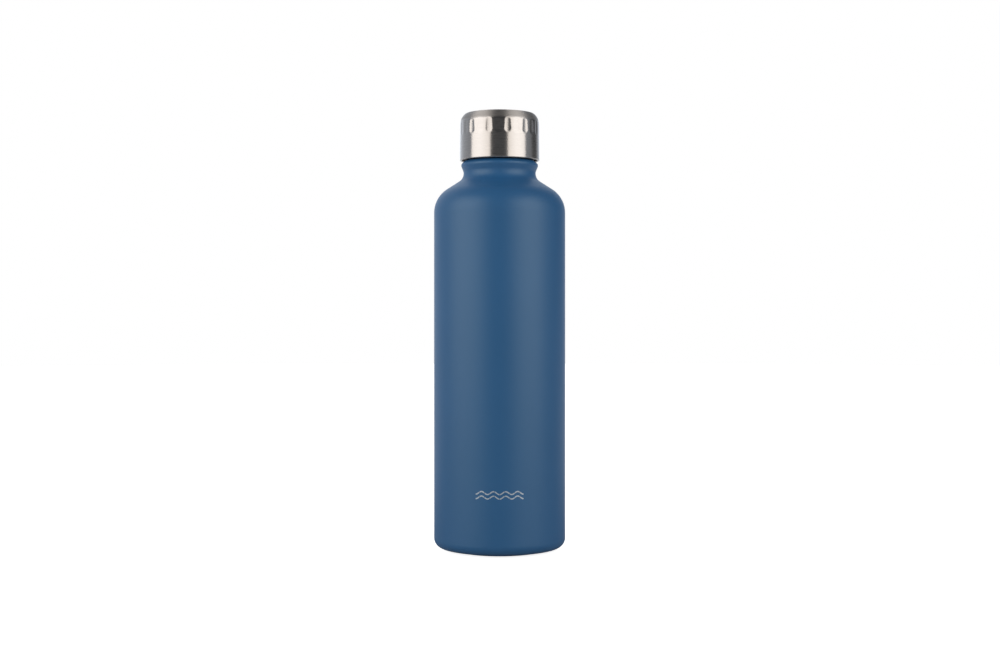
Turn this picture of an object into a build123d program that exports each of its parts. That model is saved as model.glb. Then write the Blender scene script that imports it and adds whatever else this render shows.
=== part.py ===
"""Double-walled steel water bottle, half a litre, with a fluted steel screw cap.

Frame: millimetres, +Z up, origin at the centre of the standing ring, on the surface the bottle stands on.
-Y is the front. Most pieces are turned: a section in the (radius, height) half plane, revolved about Z.
"""

import os
from math import cos, radians, sin, sqrt, tan

from build123d import *

# Outer vessel
BODY_R = 35.0
SHEET = 0.4  # thickness of the outer steel
COLLAR_R = 22.0  # inside of the standing ring
COLLAR_Z = 4.0  # top of the standing ring's inner wall
RING_ROUND = 1.0
STAND_R = 24.2  # outside of the ring's flat land
BASE_SLOPE = 11.5  # degrees that the underside rises from the ring to the corner
BASE_CORNER = 5.0
SHOULDER_Z = 187.6  # where the side and the shoulder's slope would cross
SHOULDER_SLOPE = 57.35  # degrees from vertical
SHOULDER_ROUND = 14.75
VALLEY_R = 19.27
VALLEY_ROUND = 5.2
VALLEY_TOP = 201.35
BEAD_R = 20.78
BEAD_Z = 205.1
BEAD_ROUND = 1.5
NECK_R = 17.2
LIP_Z = 228.5
LIP_ROUND = 1.5

# Inner vessel
INNER_SHEET = 0.35
INNER_R = 31.5
INNER_BASE_Z = 8.6
INNER_CORNER = 9.0
WELD_Z = 22.0  # where its base cup is welded to its wall
INNER_SHOULDER_Z = 186.6
INNER_NECK_R = 15.6
INNER_DOME = 1.6  # how far the middle of its base stands up

# Base fittings
BASE_PLATE_Z = 4.6
DIMPLE_R = 5.5
DIMPLE_Z = 6.4
EVACUATION_R = 0.75
GETTER_X = 13.5
GETTER_R = 4.2
GETTER_H = 2.2
COVER_Z = 1.3
COVER_TOP = 3.4
FOIL = 0.1
FOIL_GAP = 0.1
FOIL_LOW = 25.0
FOIL_HIGH = 174.0

# Thread: right-handed, two starts, closed at rest
LEAD = 9.0  # rise in one turn
STARTS = 2
THREAD_SPAN = 300.0  # degrees that one ridge runs
THREAD_Z = 213.5  # middle of a neck ridge at its lower end
THREAD_HEIGHT = 0.8
ROOT_HALF = 1.05
CREST_HALF = 0.45
SUNK = 0.15  # how far a ridge starts below the wall that carries it
THREAD_ROOT_R = 18.2  # wall of the threaded liner
THREAD_DROP = 1.8  # how far the liner's ridges sit below the neck's

# Cap
CAP_TOP = 232.5
CAP_RIM = 207.3
CAP_R_RIM = 21.25
CAP_R_TOP = 21.0
CAP_BEVEL = 2.75  # the corner is a 45 degree bevel of this size, rounded into the top and the side
BEVEL_ROUND_TOP = 2.2
BEVEL_ROUND_SIDE = 7.0
CAP_SHEET = 0.5
HEM = 0.9  # how high the folded rim stands
FLUTES = 26
FLUTE_FLOOR_R = 20.91
FLUTE_ROUND = 10.0
FLUTE_END = 220.25  # lowest point of a flute
FLUTE_PHASE = -2.05  # degrees from the front to the nearest flute
LINER_R = 20.5
LINER_SLIM_R = 19.85
LINER_BEVEL = 2.25
LINER_BOTTOM = 208.4
LINER_STEP_Z = 219.3  # above this the liner is slimmer, to clear the flutes
LINER_TOP = 231.9
LINER_PLATE_Z = 230.3
PLUG_R = 14.6
PLUG_BOTTOM = 215.5
PLUG_WALL = 1.2
PLUG_BEAD_R = 14.95  # small bead that keeps the gasket on the plug
PLUG_BEAD_Z = 228.0
FOAM_GAP = 0.1
GASKET_IN = 14.75
GASKET_OUT = 16.9
GASKET_GAP = 0.1
GAP = 0.05  # between pieces that lie against each other


def sheet_section(points, radii, sheet, side):
    """Section of a sheet: a line with rounded corners, thickened to one side."""
    with BuildSketch(Plane.XZ) as section:
        with BuildLine():
            FilletPolyline(*points, radius=radii)
            offset(amount=sheet, side=side)
        make_face()
    return section.sketch


def solid_section(points, radii=None):
    """Section of a solid piece: a line through its corners, closed from its last point to its first."""
    with BuildSketch(Plane.XZ) as section:
        with BuildLine():
            if radii:
                FilletPolyline(*points, radius=radii)
            else:
                Polyline(*points)
            Line(points[-1], points[0])
        make_face()
    return section.sketch


def ring_section(r_in, r_out, low, high):
    """Section of a plain ring or disc."""
    return solid_section([(r_in, low), (r_out, low), (r_out, high), (r_in, high)])


def ridge(wall_r, lean, start_z):
    """One thread ridge with rounded ends. lean is 1 outward from the wall, -1 inward."""
    root = wall_r - lean * SUNK
    crest = wall_r + lean * THREAD_HEIGHT
    rise = LEAD * THREAD_SPAN / 360
    with BuildPart() as made:
        with BuildLine() as path:
            Helix(pitch=LEAD, height=rise, radius=wall_r)
        with BuildSketch(Plane.XZ):
            with BuildLine():
                Polyline((root, -ROOT_HALF), (crest, -CREST_HALF), (crest, CREST_HALF), (root, ROOT_HALF))
                Line((root, ROOT_HALF), (root, -ROOT_HALF))
            make_face()
        sweep(path=path.line, is_frenet=True)
        for turned, height in ((0, 0), (THREAD_SPAN, rise)):
            out = Vector(cos(radians(turned)), sin(radians(turned)), 0)
            end = Plane(origin=out * root + Vector(0, 0, height), z_dir=out * lean)
            with Locations(end):
                Cone(
                    ROOT_HALF,
                    CREST_HALF,
                    THREAD_HEIGHT + SUNK,
                    align=(Align.CENTER, Align.CENTER, Align.MIN),
                )
    return made.part.moved(Location((0, 0, start_z)))


def outer_line():
    """The bottle's outside, from the standing ring's inner wall round the side to the lip."""
    points = [
        (COLLAR_R, COLLAR_Z),
        (COLLAR_R, 0),
        (STAND_R, 0),
        (BODY_R, (BODY_R - STAND_R) * tan(radians(BASE_SLOPE))),
        (BODY_R, SHOULDER_Z),
        (VALLEY_R, SHOULDER_Z + (BODY_R - VALLEY_R) / tan(radians(SHOULDER_SLOPE))),
        (VALLEY_R, VALLEY_TOP),
        (BEAD_R, BEAD_Z),
        (NECK_R, BEAD_Z + BEAD_R - NECK_R),
        (NECK_R, LIP_Z),
        (INNER_NECK_R + GAP, LIP_Z),
    ]
    radii = [
        RING_ROUND,
        2.0,
        BASE_CORNER,
        SHOULDER_ROUND,
        VALLEY_ROUND,
        3.0,
        BEAD_ROUND,
        1.5,
        LIP_ROUND,
    ]
    return points, radii


def shell_section(inset):
    """Section of the cap's outer form, its side and top moved inward by the inset."""
    shift = inset * tan(radians(22.5))
    points = [
        (0, CAP_TOP - inset),
        (CAP_R_TOP - CAP_BEVEL - shift, CAP_TOP - inset),
        (CAP_R_TOP - inset, CAP_TOP - CAP_BEVEL - shift),
        (CAP_R_RIM - inset, CAP_RIM),
        (0, CAP_RIM),
    ]
    return solid_section(points, [BEVEL_ROUND_TOP - inset, BEVEL_ROUND_SIDE - inset, 0])


def side_radius(z):
    """Radius of the cap's outer side at a height."""
    return CAP_R_RIM + (CAP_R_TOP - CAP_R_RIM) * (z - CAP_RIM) / (CAP_TOP - CAP_RIM)


def flute_tool(growth):
    """One flute cutter: an upright bar with a round end, whose back lies on the flute's floor."""
    out = FLUTE_FLOOR_R + FLUTE_ROUND
    depth = side_radius(FLUTE_END) - FLUTE_FLOOR_R
    reach = sqrt(FLUTE_ROUND**2 - (FLUTE_ROUND - depth) ** 2)
    low = FLUTE_END + reach
    radius = FLUTE_ROUND + growth
    with BuildPart() as tool:
        with Locations((out, 0, low)):
            Sphere(radius)
            Cylinder(radius, CAP_TOP + radius - low, align=(Align.CENTER, Align.CENTER, Align.MIN))
    return tool.part


def hem_section():
    """The cap's rim, folded inward on itself."""
    hem_points = [
        (CAP_R_RIM - CAP_SHEET, CAP_RIM + HEM),
        (CAP_R_RIM - 2 * CAP_SHEET, CAP_RIM + HEM),
        (CAP_R_RIM - 2 * CAP_SHEET, CAP_RIM),
        (CAP_R_RIM - CAP_SHEET, CAP_RIM),
    ]
    return solid_section(hem_points, [0.2, 0.4])


def export(piece, name):
    piece.label = name
    export_step(piece, f"parts/{name}.step")


os.makedirs("parts", exist_ok=True)

neck_ridge = ridge(NECK_R, 1, THREAD_Z)
liner_ridge = ridge(THREAD_ROOT_R, -1, THREAD_Z - THREAD_DROP)
flute_outside = flute_tool(0)
flute_inside = flute_tool(CAP_SHEET)
every_flute = PolarLocations(0, FLUTES, start_angle=FLUTE_PHASE - 90)

# Outer wall: one formed tube, with the neck's two thread ridges on it.
with BuildPart() as outer_wall:
    revolve(sheet_section(*outer_line(), SHEET, Side.LEFT), axis=Axis.Z)
    with PolarLocations(0, STARTS):
        add(neck_ridge)
export(outer_wall.part, "outer_wall")

# Outer base: a cup welded into the standing ring, with the evacuation hole in its dimple.
with BuildPart() as outer_base:
    base_points = [
        (COLLAR_R - GAP, 1.5),
        (COLLAR_R - GAP, BASE_PLATE_Z),
        (DIMPLE_R + 1.5, BASE_PLATE_Z),
        (DIMPLE_R, DIMPLE_Z),
        (EVACUATION_R, DIMPLE_Z),
    ]
    revolve(sheet_section(base_points, [1.2, 1.0, 0.7], SHEET, Side.LEFT), axis=Axis.Z)
export(outer_base.part, "outer_base")

# Seal: solder glass that fills the evacuation hole and lies in the dimple.
with BuildPart() as seal_pellet:
    dimple_floor = DIMPLE_Z - SHEET
    seal_points = [
        (0, dimple_floor - 1.1),
        (3.2, dimple_floor - 1.1),
        (4.0, dimple_floor - GAP),
        (EVACUATION_R - GAP, dimple_floor - GAP),
        (EVACUATION_R - GAP, DIMPLE_Z),
        (0, DIMPLE_Z),
    ]
    revolve(solid_section(seal_points, [0.6, 0, 0, 0]), axis=Axis.Z)
export(seal_pellet.part, "seal_pellet")

# Base cover: a shallow cup inside the outer base's rim, hiding the seal.
with BuildPart() as base_cover:
    cover_r = COLLAR_R - GAP - SHEET - GAP
    cover_points = [
        (cover_r, COVER_TOP),
        (cover_r, COVER_Z),
        (16.0, COVER_Z),
        (15.2, COVER_Z + 0.7),
        (0, COVER_Z + 0.7),
    ]
    revolve(sheet_section(cover_points, [0.8, 0.6, 0.6], SHEET, Side.RIGHT), axis=Axis.Z)
export(base_cover.part, "base_cover")

# Getter: an open tray in the vacuum space, and the gas-absorbing pellet in it.
with BuildPart() as getter_tray:
    tray_floor = BASE_PLATE_Z + GAP
    with Locations((GETTER_X, 0, tray_floor)):
        Cylinder(GETTER_R, GETTER_H, align=(Align.CENTER, Align.CENTER, Align.MIN))
    with Locations((GETTER_X, 0, tray_floor + 0.3)):
        Cylinder(
            GETTER_R - 0.3,
            GETTER_H,
            align=(Align.CENTER, Align.CENTER, Align.MIN),
            mode=Mode.SUBTRACT,
        )
export(getter_tray.part, "getter_tray")

with BuildPart() as getter_pellet:
    with Locations((GETTER_X, 0, tray_floor + 0.3 + GAP)):
        Cylinder(GETTER_R - 0.4, GETTER_H - 0.7, align=(Align.CENTER, Align.CENTER, Align.MIN))
    fillet(getter_pellet.edges().group_by(Axis.Z)[-1], 0.3)
export(getter_pellet.part, "getter_pellet")

# Inner vessel: a base cup and a necked wall, welded end to end.
with BuildPart() as inner_base:
    inner_base_points = [
        (INNER_R, WELD_Z),
        (INNER_R, INNER_BASE_Z),
        (12.0, INNER_BASE_Z),
        (4.0, INNER_BASE_Z + INNER_DOME),
        (0, INNER_BASE_Z + INNER_DOME),
    ]
    revolve(sheet_section(inner_base_points, [INNER_CORNER, 6, 6], INNER_SHEET, Side.RIGHT), axis=Axis.Z)
export(inner_base.part, "inner_base")

with BuildPart() as inner_wall:
    inner_wall_points = [
        (INNER_R, WELD_Z + GAP),
        (INNER_R, INNER_SHOULDER_Z),
        (INNER_NECK_R, INNER_SHOULDER_Z + (INNER_R - INNER_NECK_R) / tan(radians(SHOULDER_SLOPE))),
        (INNER_NECK_R, LIP_Z),
    ]
    revolve(sheet_section(inner_wall_points, [13.0, 7.0], INNER_SHEET, Side.LEFT), axis=Axis.Z)
export(inner_wall.part, "inner_wall")

# Radiation foil: one wrap round the inner vessel's straight part.
with BuildPart() as radiation_foil:
    foil_r = INNER_R + FOIL_GAP
    revolve(ring_section(foil_r, foil_r + FOIL, FOIL_LOW, FOIL_HIGH), axis=Axis.Z)
export(radiation_foil.part, "radiation_foil")

# Cap shell: a drawn steel cup with flutes pressed in round its upper half and a folded rim.
with BuildPart() as cap_hollow:
    revolve(shell_section(CAP_SHEET), axis=Axis.Z)
    with every_flute:
        add(flute_inside, mode=Mode.SUBTRACT)

with BuildPart() as cap_shell:
    revolve(shell_section(0), axis=Axis.Z)
    fillet(cap_shell.edges().group_by(Axis.Z)[0], HEM / 2)
    with every_flute:
        add(flute_outside, mode=Mode.SUBTRACT)
    add(cap_hollow.part, mode=Mode.SUBTRACT)
    revolve(hem_section(), axis=Axis.Z)
export(cap_shell.part, "cap_shell")

# Cap liner: the threaded plastic cup pressed into the shell.
with BuildPart() as cap_liner:
    liner_points = [
        (0, LINER_PLATE_Z),
        (THREAD_ROOT_R, LINER_PLATE_Z),
        (THREAD_ROOT_R, LINER_BOTTOM),
        (LINER_R, LINER_BOTTOM),
        (LINER_R, LINER_STEP_Z),
        (LINER_SLIM_R, LINER_STEP_Z + LINER_R - LINER_SLIM_R),
        (LINER_SLIM_R, LINER_TOP - LINER_BEVEL),
        (LINER_SLIM_R - LINER_BEVEL, LINER_TOP),
        (0, LINER_TOP),
    ]
    revolve(solid_section(liner_points, [1.6, 0.5, 0.3, 0, 0, 5.5, 1.5]), axis=Axis.Z)
    with PolarLocations(0, STARTS):
        add(liner_ridge)
export(cap_liner.part, "cap_liner")

# Plug: a plastic cup under the liner, filled with insulating foam.
with BuildPart() as plug_cup:
    plug_top = LINER_PLATE_Z - GAP
    inner_r = PLUG_R - PLUG_WALL
    plug_points = [
        (0, PLUG_BOTTOM),
        (PLUG_R, PLUG_BOTTOM),
        (PLUG_R, PLUG_BEAD_Z - 0.35),
        (PLUG_BEAD_R, PLUG_BEAD_Z),
        (PLUG_R, PLUG_BEAD_Z + 0.35),
        (PLUG_R, plug_top),
        (inner_r, plug_top),
        (inner_r, PLUG_BOTTOM + PLUG_WALL),
        (0, PLUG_BOTTOM + PLUG_WALL),
    ]
    revolve(solid_section(plug_points, [1.6, 0, 0.15, 0, 0, 0, 0.8]), axis=Axis.Z)
export(plug_cup.part, "plug_cup")

with BuildPart() as plug_foam:
    foam_r = inner_r - FOAM_GAP
    foam_points = [
        (0, PLUG_BOTTOM + PLUG_WALL + FOAM_GAP),
        (foam_r, PLUG_BOTTOM + PLUG_WALL + FOAM_GAP),
        (foam_r, plug_top),
        (0, plug_top),
    ]
    revolve(solid_section(foam_points, [1.0, 0]), axis=Axis.Z)
export(plug_foam.part, "plug_foam")

# Gasket: the silicone ring between the lip and the cap's plate.
with BuildPart() as lip_gasket:
    gasket_low = LIP_Z + GASKET_GAP
    gasket_high = LINER_PLATE_Z - GASKET_GAP
    revolve(ring_section(GASKET_IN, GASKET_OUT, gasket_low, gasket_high), axis=Axis.Z)
    fillet(lip_gasket.edges().filter_by(GeomType.CIRCLE), 0.25)
export(lip_gasket.part, "lip_gasket")
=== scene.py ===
"""Looks for the double-walled steel water bottle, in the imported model's frame (metres)."""

from math import atan2, cos, degrees, pi, radians, sin, sqrt, tan

import bpy
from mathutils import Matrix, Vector


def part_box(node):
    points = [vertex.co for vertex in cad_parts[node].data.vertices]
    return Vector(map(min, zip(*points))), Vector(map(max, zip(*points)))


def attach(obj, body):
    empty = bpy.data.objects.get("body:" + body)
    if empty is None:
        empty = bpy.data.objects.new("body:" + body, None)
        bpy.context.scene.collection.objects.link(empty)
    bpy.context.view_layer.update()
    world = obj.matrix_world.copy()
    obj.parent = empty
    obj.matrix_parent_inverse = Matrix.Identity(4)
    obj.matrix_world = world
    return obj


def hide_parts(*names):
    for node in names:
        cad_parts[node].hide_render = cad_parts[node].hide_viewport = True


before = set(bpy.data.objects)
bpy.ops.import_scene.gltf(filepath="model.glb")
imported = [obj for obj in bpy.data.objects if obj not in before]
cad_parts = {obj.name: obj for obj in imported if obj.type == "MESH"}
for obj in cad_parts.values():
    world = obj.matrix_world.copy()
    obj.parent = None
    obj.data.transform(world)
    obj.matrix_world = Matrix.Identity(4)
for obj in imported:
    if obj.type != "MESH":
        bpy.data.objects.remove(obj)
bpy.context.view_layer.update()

MM = 0.001

# ---------------------------------------------------------------- dimensions, in millimetres
BODY_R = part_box("outer_wall")[1].x / MM
CAP_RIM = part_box("cap_shell")[0].z / MM
CAP_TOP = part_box("cap_shell")[1].z / MM
CAP_R_RIM = 21.25
CAP_R_TOP = 21.0
CAP_BEVEL = 2.75  # the corner is a 45 degree bevel, rounded into the top and the side
BEVEL_ROUND_TOP = 2.2
BEVEL_ROUND_SIDE = 7.0
CAP_SHEET = 0.5
CAP_MIDDLE_R = 0.02  # one flat face closes the skin inside this radius
HEM = 0.9  # height of the folded rim
HEM_STEPS = 6  # faces along each round of the fold
HEM_STRIP = 0.02  # a narrow strip at the fold's inner corner, which keeps the corner sharp
DULL_FROM = CAP_TOP - 8.0  # above DULL_TO the steel is duller wherever it faces up
DULL_TO = CAP_TOP - 6.5
FLUTES = 26
FLUTE_FLOOR_R = 20.91
FLUTE_ROUND = 10.0
FLUTE_END = 220.25  # lowest point of a flute
FLUTE_PHASE = -2.05  # degrees
FLUTE_SOFT = 0.07  # how softly a flute's edge meets the side
FLUTE_CLEAR_Z = FLUTE_END - 1.0  # the side is plain below this height
FLUTE_CLEAR_R = 15.0  # and the top is plain inside this radius
FLUTE_STEPS = 20  # faces across one flute's share of the turn
ROUND_STEPS = 18  # faces along each round of the cap's corner
LONGEST_EDGE = 0.3  # up the cap's side and across its top
COAT_TOP = 207.0  # the powder coat ends here, under the cap's rim
COAT_SHEEN = (0.84, 1.0, 1.0, 1.0)  # the pigment cools what the coat reflects
MARK_Z = 32.9
MARK_WIDTH = 25.0
MARK_ROW = 1.15  # how far each row lies from MARK_Z
MARK_SWING = 0.75
MARK_WAVES = 4
MARK_STEPS = 96
MARK_STROKE = 0.6
MARK_DEPTH = 0.05  # as deep as the coat is thick
MARK_SUNK = 0.004  # keeps its face inside the side

# ---------------------------------------------------------------- camera and light, in metres
CAMERA_DISTANCE = 0.775
CAMERA_HEIGHT = 0.1245
CAMERA_X = 0.0002
LENS = 52.2  # millimetres
SENSOR = 36.0  # millimetres
SHIFT_Y = -0.0175  # as a share of the sensor's width

TABLE_RINGS = (0.3, 1.0, 3.0)
TABLE_STEPS = 96
TABLE_Z = -0.00003  # just clear of the standing ring
TABLE_GREY = 0.5  # how much light it throws back
# The table glows for the camera, less near the bottle: painted shade round its foot, which lets the cast
# shadow show.
TABLE_GLOW = (0.88, 1.0)  # inside the first radius of GLOW_REACH, and outside the second
GLOW_REACH = (0.03, 0.14)
SWEEP = 0.45  # the lit white sweep behind the bottle
SWEEP_REACH = (0.1, 0.4)  # how far back it starts, and where it is full
SOFT_BOXES = (("soft_box_left", -57.5, 1.07), ("soft_box_right", 51.4, 0.95))  # name, azimuth, width
SOFT_BOX_AWAY = 0.9
SOFT_BOX_Z = 0.525
SOFT_BOX_TALL = 1.0
SOFT_BOX_RADIANCE = 1.86
SOFT_TINT = (1.0, 0.948, 0.89)
CEILING = 0.13
CEILING_RISE = (0.7, 0.95)  # sine of the height where the walls end, and where the ceiling is full
WALL_TINT = (0.91, 0.99, 1.11)
# Brightness of the room round the bottle: degrees from the camera, positive to its right.
# The two ends come first.
WALLS = (
    (-180, 1.40),
    (180, 1.40),
    (-154, 0.90),
    (-137, 0.66),
    (-123, 0.50),
    (-92, 0.37),
    (-58, 0.55),
    (-26, 0.035),
    (24, 0.035),
    (51, 0.55),
    (84, 0.38),
    (93, 0.36),
    (104, 0.26),
    (112, 0.04),
    (130, 0.02),
    (136, 0.20),
    (144, 0.40),
    (154, 0.65),
)


# ---------------------------------------------------------------- node helpers
class Nodes:
    """Short calls for adding and linking the nodes of a material or a world."""

    def __init__(self, owner, place):
        owner.use_nodes = True
        self.tree = owner.node_tree
        self.tree.nodes.clear()
        self.place = self.tree.nodes.new("ShaderNodeTexCoord").outputs[place]

    def link(self, value, socket):
        """Wire a node's output to the socket, or set the socket to a plain value."""
        if hasattr(value, "links"):
            self.tree.links.new(value, socket)
        else:
            socket.default_value = value

    def output(self, kind, shader):
        """Send the shader to a new output node."""
        node = self.tree.nodes.new(kind)
        self.tree.links.new(shader, node.inputs["Surface"])

    def math(self, operation, *values):
        node = self.tree.nodes.new("ShaderNodeMath")
        node.operation = operation
        for i, value in enumerate(values):
            self.link(value, node.inputs[i])
        return node.outputs[0]

    def split(self):
        """The place's x, y and z."""
        node = self.tree.nodes.new("ShaderNodeSeparateXYZ")
        self.link(self.place, node.inputs[0])
        return node.outputs[0], node.outputs[1], node.outputs[2]

    def spread(self, value, low, high, start=0.0, end=1.0):
        """value's range start to end, mapped on low to high."""
        node = self.tree.nodes.new("ShaderNodeMapRange")
        self.link(value, node.inputs["Value"])
        node.inputs["From Min"].default_value = start
        node.inputs["From Max"].default_value = end
        node.inputs["To Min"].default_value = low
        node.inputs["To Max"].default_value = high
        return node.outputs["Result"]

    def blend(self, factor, first, second):
        """A colour between two."""
        node = self.tree.nodes.new("ShaderNodeMix")
        node.data_type = "RGBA"
        self.link(factor, node.inputs["Factor"])
        self.link(first, node.inputs["A"])
        self.link(second, node.inputs["B"])
        return node.outputs["Result"]

    def seen_by_camera(self):
        """1 for what the camera sees directly, 0 for light that falls on the bottle."""
        return self.tree.nodes.new("ShaderNodeLightPath").outputs["Is Camera Ray"]


class Shader(Nodes):
    """A material, its textures fixed to the object."""

    def __init__(self, name):
        self.material = bpy.data.materials.new(name)
        super().__init__(self.material, "Object")

    def surface(self, shader):
        """Send the shader to the surface, and give the material."""
        self.output("ShaderNodeOutputMaterial", shader)
        return self.material

    def height(self):
        """The object's z."""
        return self.split()[2]

    def upward(self):
        """How far the surface faces up: 0 on an upright side, 1 on a level top."""
        place = self.tree.nodes.new("ShaderNodeTexCoord")
        parts = self.tree.nodes.new("ShaderNodeSeparateXYZ")
        self.link(place.outputs["Normal"], parts.inputs[0])
        return parts.outputs[2]

    def reach(self):
        """How far a point is from the object's z axis."""
        x, y = self.split()[:2]
        square = self.math("ADD", self.math("MULTIPLY", x, x), self.math("MULTIPLY", y, y))
        return self.math("SQRT", square)

    def join(self, x, y, z):
        """A vector from its three parts."""
        node = self.tree.nodes.new("ShaderNodeCombineXYZ")
        for i, value in enumerate((x, y, z)):
            self.link(value, node.inputs[i])
        return node.outputs[0]

    def noise(self, scale, detail=2.0, roughness=0.5, vector=None):
        """Noise from 0 to 1, over the object or over another vector."""
        node = self.tree.nodes.new("ShaderNodeTexNoise")
        node.inputs["Scale"].default_value = scale
        node.inputs["Detail"].default_value = detail
        node.inputs["Roughness"].default_value = roughness
        self.link(self.place if vector is None else vector, node.inputs["Vector"])
        return node.outputs["Fac"]

    def bump(self, height, distance, strength, normal=None):
        """The surface's direction over a height, with the distance in metres."""
        node = self.tree.nodes.new("ShaderNodeBump")
        node.inputs["Strength"].default_value = strength
        node.inputs["Distance"].default_value = distance
        self.link(height, node.inputs["Height"])
        if normal is not None:
            self.link(normal, node.inputs["Normal"])
        return node.outputs["Normal"]

    def around(self):
        """The direction round the bottle's axis, for a turned or brushed grain."""
        node = self.tree.nodes.new("ShaderNodeTangent")
        node.direction_type = "RADIAL"
        node.axis = "Z"
        return node.outputs["Tangent"]

    def principled(self, **values):
        """A Principled shader. An underscore in a name stands for a space."""
        node = self.tree.nodes.new("ShaderNodeBsdfPrincipled")
        for name, value in values.items():
            self.link(value, node.inputs[name.replace("_", " ")])
        return node.outputs["BSDF"]

    def mix(self, factor, first, second):
        """A shader between two."""
        node = self.tree.nodes.new("ShaderNodeMixShader")
        self.link(factor, node.inputs[0])
        self.link(first, node.inputs[1])
        self.link(second, node.inputs[2])
        return node.outputs[0]


def rgb(r, g, b):
    """An opaque colour."""
    return (r, g, b, 1.0)


def turned_grain(shader, fine, coarse):
    """Hairlines that run round the axis, on a side as on a top."""
    x, y, z = shader.split()
    down = shader.math("SUBTRACT", z, shader.reach())
    lines = shader.join(
        shader.math("MULTIPLY", x, coarse),
        shader.math("MULTIPLY", y, coarse),
        shader.math("MULTIPLY", down, fine),
    )
    return shader.noise(1.0, detail=3.0, roughness=0.6, vector=lines)


# ---------------------------------------------------------------- materials
def bare_steel(shader, roughness=0.3):
    """Formed steel with no coat."""
    grain = turned_grain(shader, fine=5000.0, coarse=60.0)
    return shader.principled(
        Base_Color=shader.blend(grain, rgb(0.52, 0.51, 0.49), rgb(0.62, 0.61, 0.59)),
        Metallic=1.0,
        Roughness=shader.spread(grain, roughness - 0.06, roughness + 0.06),
        Normal=shader.bump(grain, 0.00001, 0.5),
    )


def powder_coat_material():
    """Matte blue powder coat, and bare steel on the neck under the cap and inside."""
    shader = Shader("powder_coat_blue")
    peel = shader.noise(1400.0, detail=3.0, roughness=0.55)
    cloud = shader.noise(24.0, detail=2.0)
    grain = shader.noise(5200.0, detail=1.0)
    colour = shader.blend(
        shader.spread(cloud, 0.0, 1.0, 0.3, 0.7),
        rgb(0.016, 0.097, 0.240),
        rgb(0.018, 0.102, 0.252),
    )
    normal = shader.bump(peel, 0.00003, 0.35)
    normal = shader.bump(grain, 0.000012, 0.3, normal)
    coat = shader.principled(
        Base_Color=colour,
        Roughness=shader.spread(peel, 0.41, 0.49),
        IOR=1.58,
        Specular_Tint=COAT_SHEEN,
        Normal=normal,
    )
    above = shader.math("GREATER_THAN", shader.height(), COAT_TOP * MM)
    return shader.surface(shader.mix(above, coat, bare_steel(shader)))


def steel_material(name, roughness):
    """Bare steel of a given roughness."""
    shader = Shader(name)
    return shader.surface(bare_steel(shader, roughness))


def cap_steel_material():
    """Brushed steel, its hairlines round the cap, duller over the drawn corner and the top."""
    shader = Shader("cap_steel_brushed")
    hairs = turned_grain(shader, fine=9000.0, coarse=90.0)
    streaks = turned_grain(shader, fine=2200.0, coarse=40.0)
    both = shader.math("ADD", shader.math("MULTIPLY", hairs, 0.55), shader.math("MULTIPLY", streaks, 0.45))
    drawn = shader.spread(shader.height(), 0.0, 1.0, DULL_FROM * MM, DULL_TO * MM)
    dull = shader.math("MULTIPLY", shader.spread(shader.upward(), 0.0, 1.0, 0.15, 0.31), drawn)
    side = shader.spread(both, 0.26, 0.30, 0.3, 0.7)
    rough = shader.math("ADD", side, shader.math("MULTIPLY", dull, 0.30))
    return shader.surface(
        shader.principled(
            Base_Color=shader.blend(both, rgb(0.474, 0.449, 0.427), rgb(0.500, 0.473, 0.451)),
            Metallic=1.0,
            Roughness=rough,
            Anisotropic=0.9,
            Anisotropic_Rotation=0.25,
            Tangent=shader.around(),
            Normal=shader.bump(both, 0.000004, 0.05),
        )
    )


def moulded_material(name, colour, roughness):
    """Moulded plastic with a faint spark-eroded texture."""
    shader = Shader(name)
    texture = shader.noise(3000.0, detail=2.0)
    return shader.surface(
        shader.principled(
            Base_Color=shader.blend(texture, rgb(*[c * 0.85 for c in colour]), rgb(*colour)),
            Roughness=shader.spread(texture, roughness - 0.06, roughness + 0.06),
            Normal=shader.bump(texture, 0.00002, 0.3),
        )
    )


def silicone_material():
    """Pale grey silicone, a little translucent."""
    shader = Shader("silicone_clear_grey")
    texture = shader.noise(900.0, detail=2.0)
    return shader.surface(
        shader.principled(
            Base_Color=shader.blend(texture, rgb(0.66, 0.67, 0.67), rgb(0.74, 0.75, 0.75)),
            Roughness=shader.spread(texture, 0.38, 0.50),
            Subsurface_Weight=0.3,
            Subsurface_Scale=0.002,
            Normal=shader.bump(texture, 0.00002, 0.3),
        )
    )


def etched_material():
    """Steel laid bare by a laser: fine straight scan lines, matte and pale."""
    shader = Shader("etched_steel")
    scan = shader.math("SINE", shader.math("MULTIPLY", shader.height(), 2 * pi / 0.00012))
    dust = shader.noise(6000.0, detail=2.0)
    return shader.surface(
        shader.principled(
            Base_Color=shader.blend(dust, rgb(0.46, 0.52, 0.57), rgb(0.58, 0.64, 0.69)),
            Metallic=0.8,
            Roughness=shader.spread(dust, 0.42, 0.6),
            Normal=shader.bump(scan, 0.000004, 0.3),
        )
    )


# ---------------------------------------------------------------- mesh helpers
def new_piece(name, verts, faces, material, body):
    """A smooth mesh piece from millimetres, which rides a body."""
    mesh = bpy.data.meshes.new(name)
    mesh.from_pydata([Vector(v) * MM for v in verts], [], faces)
    mesh.polygons.foreach_set("use_smooth", [True] * len(mesh.polygons))
    mesh.materials.append(material)
    mesh.update()
    piece = bpy.data.objects.new(name, mesh)
    bpy.context.scene.collection.objects.link(piece)
    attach(piece, body)
    return piece


def ring_faces(rings, around):
    """Faces that join rings of points, each ring to the one after it."""
    faces = []
    for j in range(rings - 1):
        for i in range(around):
            k = (i + 1) % around
            faces.append((j * around + i, (j + 1) * around + i, (j + 1) * around + k, j * around + k))
    return faces


def arc(centre, radius, start, end, steps):
    """Points of an arc in the (radius, height) plane, angles in degrees."""
    points = []
    for i in range(steps + 1):
        a = radians(start + (end - start) * i / steps)
        points.append((centre[0] + radius * cos(a), centre[1] + radius * sin(a)))
    return points


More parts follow.
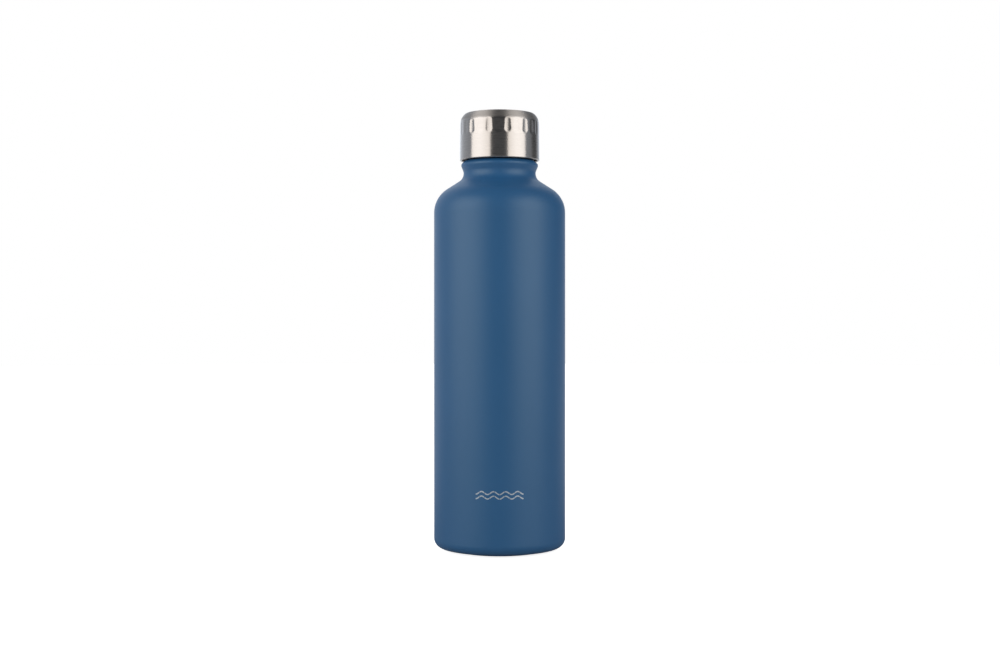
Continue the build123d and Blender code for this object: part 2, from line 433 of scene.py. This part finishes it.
def run(first, last, steps):
    """Points from first to last, both included."""
    return [
        (first[0] + (last[0] - first[0]) * i / steps, first[1] + (last[1] - first[1]) * i / steps)
        for i in range(steps + 1)
    ]


# ---------------------------------------------------------------- cap
def soft_least(a, b, k):
    """The lesser of two lengths, rounded where they cross."""
    h = max(k - abs(a - b), 0.0) / k
    return min(a, b) - h * h * k / 4


def side_radius(z):
    """Radius of the cap's outer side at a height."""
    return CAP_R_RIM + (CAP_R_TOP - CAP_R_RIM) * (z - CAP_RIM) / (CAP_TOP - CAP_RIM)


def flute_dent(angle, r, z):
    """How far the flutes press the cap's side in, at an angle in degrees, a radius and a height."""
    pitch = 360.0 / FLUTES
    across = (angle + 90.0 - FLUTE_PHASE + pitch / 2) % pitch - pitch / 2
    u = CAP_R_RIM * sin(radians(across))
    depth = side_radius(FLUTE_END) - FLUTE_FLOOR_R
    reach = sqrt(FLUTE_ROUND**2 - (FLUTE_ROUND - depth) ** 2)
    w = min(z - (FLUTE_END + reach), 0.0)
    out = min(sqrt(u * u + w * w), FLUTE_ROUND)
    pressed = FLUTE_FLOOR_R + FLUTE_ROUND - sqrt(FLUTE_ROUND**2 - out**2)
    return r - soft_least(r, pressed, FLUTE_SOFT)


def rounded(points, radii, steps):
    """A line through points in the (radius, height) plane, its inner corners rounded to the radii."""
    line = [points[0]]
    for before, corner, after, radius in zip(points, points[1:], points[2:], radii):
        corner = Vector(corner)
        back = (Vector(before) - corner).normalized()
        on = (Vector(after) - corner).normalized()
        half = back.angle(on) / 2
        centre = corner + (back + on).normalized() * radius / sin(half)
        start = corner + back * radius / tan(half) - centre
        end = corner + on * radius / tan(half) - centre
        from_angle = degrees(atan2(start.y, start.x))
        to_angle = degrees(atan2(end.y, end.x))
        line += arc(centre, radius, from_angle, to_angle, steps)
    return line + [points[-1]]


def filled(line, longest):
    """The line with its long stretches divided."""
    out = [line[0]]
    for start, end in zip(line, line[1:]):
        steps = max(1, round(sqrt((end[0] - start[0]) ** 2 + (end[1] - start[1]) ** 2) / longest))
        out += run(start, end, steps)[1:]
    return out


def shell_line(inset, low):
    """The cap's top and side from the axis down, moved inward by the inset."""
    shift = inset * tan(radians(22.5))
    points = [
        (CAP_MIDDLE_R, CAP_TOP - inset),
        (CAP_R_TOP - CAP_BEVEL - shift, CAP_TOP - inset),
        (CAP_R_TOP - inset, CAP_TOP - CAP_BEVEL - shift),
        (CAP_R_RIM - inset, low),
    ]
    radii = [BEVEL_ROUND_TOP - inset, BEVEL_ROUND_SIDE - inset]
    return filled(rounded(points, radii, ROUND_STEPS), LONGEST_EDGE)


def cap_profile():
    """The shell's outline: top centre, side, folded rim, and back up inside to the centre.

    Each point is (radius, height, radius the dent is worked out at)."""
    outer = shell_line(0, CAP_RIM + HEM / 2)
    hem_in = CAP_R_RIM - 2 * CAP_SHEET
    rim = arc((CAP_R_RIM - HEM / 2, CAP_RIM + HEM / 2), HEM / 2, 0, -90, HEM_STEPS)[1:]
    rim += arc((hem_in + HEM / 2, CAP_RIM + HEM / 2), HEM / 2, -90, -180, HEM_STEPS)[1:]
    rim += run((hem_in, CAP_RIM + HEM / 2), (hem_in, CAP_RIM + HEM), 2)[1:]
    rim += [(CAP_R_RIM - CAP_SHEET - HEM_STRIP, CAP_RIM + HEM)]
    inner = reversed(shell_line(CAP_SHEET, CAP_RIM + HEM))
    points = [(r, z, r) for r, z in outer + rim]
    points += [(r, z, r + CAP_SHEET) for r, z in inner]
    return points


def build_cap_skin(material):
    """The drawn cap with its pressed flutes, as one closed skin."""
    around = FLUTES * FLUTE_STEPS
    profile = cap_profile()
    verts = []
    for r, z, dent_r in profile:
        for i in range(around):
            angle = 360.0 * i / around
            near = z > FLUTE_CLEAR_Z and r > FLUTE_CLEAR_R
            pressed_r = r - flute_dent(angle, dent_r, z) if near else r
            verts.append((pressed_r * cos(radians(angle)), pressed_r * sin(radians(angle)), z))
    faces = ring_faces(len(profile), around)
    last = (len(profile) - 1) * around
    faces.append(tuple(range(around)))
    faces.append(tuple(last + i for i in reversed(range(around))))
    piece = new_piece("cap_skin", verts, faces, material, "cap")
    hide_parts("cap_shell")


# ---------------------------------------------------------------- etched mark
def stroke_on_side(points, width):
    """A stroke of even width along points (across, up), let into the bottle's side as a closed solid."""
    verts = []
    for i, (x, z) in enumerate(points):
        before = points[max(i - 1, 0)]
        after = points[min(i + 1, len(points) - 1)]
        dx, dz = after[0] - before[0], after[1] - before[1]
        length = sqrt(dx * dx + dz * dz)
        nx, nz = -dz / length * width / 2, dx / length * width / 2
        for side, sunk in ((-1, 0), (1, 0), (1, MARK_DEPTH), (-1, MARK_DEPTH)):
            a = (x + side * nx) / BODY_R
            r = BODY_R - MARK_SUNK - sunk
            verts.append((r * sin(a), -r * cos(a), z + side * nz))
    faces = [(0, 1, 2, 3)]
    for i in range(0, len(verts) - 4, 4):
        for k in range(4):
            n = (k + 1) % 4
            faces.append((i + k, i + k + 4, i + n + 4, i + n))
    last = len(verts) - 4
    faces.append((last, last + 3, last + 2, last + 1))
    return verts, faces


def build_mark(material):
    """A plain sign for water in place of any name: two rows of waves."""
    verts = []
    faces = []
    for row in (-1, 1):
        line = []
        for i in range(MARK_STEPS + 1):
            t = i / MARK_STEPS
            rise = row * MARK_ROW - MARK_SWING * cos(2 * pi * MARK_WAVES * t)
            line.append((MARK_WIDTH * (t - 0.5), MARK_Z + rise))
        new_verts, new_faces = stroke_on_side(line, MARK_STROKE)
        faces += [tuple(i + len(verts) for i in face) for face in new_faces]
        verts += new_verts
    piece = new_piece("etched_waves", verts, faces, material, "bottle")
    piece.data.polygons.foreach_set("use_smooth", [False] * len(faces))


# ---------------------------------------------------------------- studio
def build_soft_boxes():
    """Two upright soft boxes that face the bottle. Azimuth 0 is at the camera, negative to its left."""
    for name, azimuth, width in SOFT_BOXES:
        data = bpy.data.lights.new(name, "AREA")
        data.shape = "RECTANGLE"
        data.size = width
        data.size_y = SOFT_BOX_TALL
        data.energy = SOFT_BOX_RADIANCE * pi * width * SOFT_BOX_TALL
        data.color = SOFT_TINT
        light = bpy.data.objects.new(name, data)
        a = radians(azimuth)
        light.location = (SOFT_BOX_AWAY * sin(a), -SOFT_BOX_AWAY * cos(a), SOFT_BOX_Z)
        light.rotation_mode = "QUATERNION"
        facing = Vector((0, 0, SOFT_BOX_Z)) - light.location
        light.rotation_quaternion = facing.to_track_quat("-Z", "Y")
        bpy.context.scene.collection.objects.link(light)


def table_material():
    """Pale and glowing for the camera, the glow weaker near the bottle as painted shade round its foot; a
    grey table before a lit sweep for the light it throws back.
    """
    shader = Shader("studio_table")
    speck = shader.noise(60.0)
    # painted shade: the glow is weaker near the bottle's foot
    glow = shader.spread(shader.reach(), *TABLE_GLOW, *GLOW_REACH)
    seen = shader.principled(
        Base_Color=shader.blend(speck, rgb(0.86, 0.86, 0.86), rgb(0.88, 0.88, 0.88)),
        Roughness=0.9,
        Emission_Color=rgb(1.0, 1.0, 1.0),
        Emission_Strength=glow,
    )
    back = shader.split()[1]
    bounced = shader.principled(
        Base_Color=rgb(TABLE_GREY, TABLE_GREY, TABLE_GREY),
        Roughness=0.9,
        Emission_Color=rgb(1.0, 1.0, 1.0),
        Emission_Strength=shader.spread(back, 0.0, SWEEP, *SWEEP_REACH),
    )
    return shader.surface(shader.mix(shader.seen_by_camera(), bounced, seen))


def build_floor():
    """A pale table, wide enough to have no edge in view."""
    verts = []
    for ring in TABLE_RINGS:
        for i in range(TABLE_STEPS):
            a = 2 * pi * i / TABLE_STEPS
            verts.append((ring * cos(a), ring * sin(a), TABLE_Z))
    faces = [tuple(range(TABLE_STEPS))] + ring_faces(len(TABLE_RINGS), TABLE_STEPS)
    mesh = bpy.data.meshes.new("studio_table")
    mesh.from_pydata(verts, [], faces)
    mesh.materials.append(table_material())
    floor = bpy.data.objects.new("studio_table", mesh)
    bpy.context.scene.collection.objects.link(floor)


def build_world():
    """White behind the bottle for the camera; for light and reflections, a room with grey walls."""
    world = bpy.data.worlds.new("studio")
    nodes = Nodes(world, "Generated")
    x, y, z = nodes.split()
    turn = nodes.math("ARCTAN2", x, nodes.math("MULTIPLY", y, -1.0))
    walls = nodes.tree.nodes.new("ShaderNodeValToRGB")
    nodes.link(nodes.spread(turn, 0.0, 1.0, -pi, pi), walls.inputs[0])
    stops = walls.color_ramp.elements
    for i, (azimuth, grey) in enumerate(WALLS):
        at = (azimuth + 180.0) / 360.0
        stop = stops[i] if i < 2 else stops.new(at)
        stop.position = at
        stop.color = rgb(*[grey * tint for tint in WALL_TINT])
    overhead = nodes.spread(z, 0.0, 1.0, *CEILING_RISE)
    room = nodes.blend(overhead, walls.outputs["Color"], rgb(CEILING, CEILING, CEILING))
    shown = nodes.blend(nodes.seen_by_camera(), room, rgb(1.0, 1.0, 1.0))
    background = nodes.tree.nodes.new("ShaderNodeBackground")
    nodes.link(shown, background.inputs["Color"])
    nodes.output("ShaderNodeOutputWorld", background.outputs[0])
    bpy.context.scene.world = world


def build_camera():
    """Near the middle of the bottle's height, looking level, with the picture shifted to take it all in."""
    data = bpy.data.cameras.new("camera")
    data.sensor_width = SENSOR
    data.lens = LENS
    data.shift_y = SHIFT_Y
    data.clip_start = 0.01
    data.clip_end = 50.0
    camera = bpy.data.objects.new("camera", data)
    camera.location = (CAMERA_X, -CAMERA_DISTANCE, CAMERA_HEIGHT)
    camera.rotation_euler = (radians(90), 0, 0)
    bpy.context.scene.collection.objects.link(camera)
    bpy.context.scene.camera = camera


# ---------------------------------------------------------------- build
def paint(node, material):
    """Give a CAD node its material."""
    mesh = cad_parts[node].data
    mesh.materials.clear()
    mesh.materials.append(material)


build_camera()
build_world()
build_floor()
build_soft_boxes()

paint("outer_wall", powder_coat_material())
base_steel = steel_material("base_steel_satin", 0.34)
vessel_steel = steel_material("vessel_steel_satin", 0.28)
for node in ("outer_base", "base_cover", "getter_tray"):
    paint(node, base_steel)
for node in ("inner_wall", "inner_base"):
    paint(node, vessel_steel)
paint("radiation_foil", steel_material("foil_bright", 0.18))
black = moulded_material("polymer_black", (0.016, 0.016, 0.018), 0.42)
for node in ("cap_liner", "plug_cup"):
    paint(node, black)
paint("plug_foam", moulded_material("foam_white", (0.80, 0.79, 0.75), 0.8))
paint("seal_pellet", moulded_material("solder_glass_grey", (0.22, 0.23, 0.24), 0.2))
paint("getter_pellet", moulded_material("getter_alloy_grey", (0.18, 0.18, 0.19), 0.7))
paint("lip_gasket", silicone_material())
build_cap_skin(cap_steel_material())
build_mark(etched_material())

bpy.context.scene.view_settings.view_transform = "Standard"
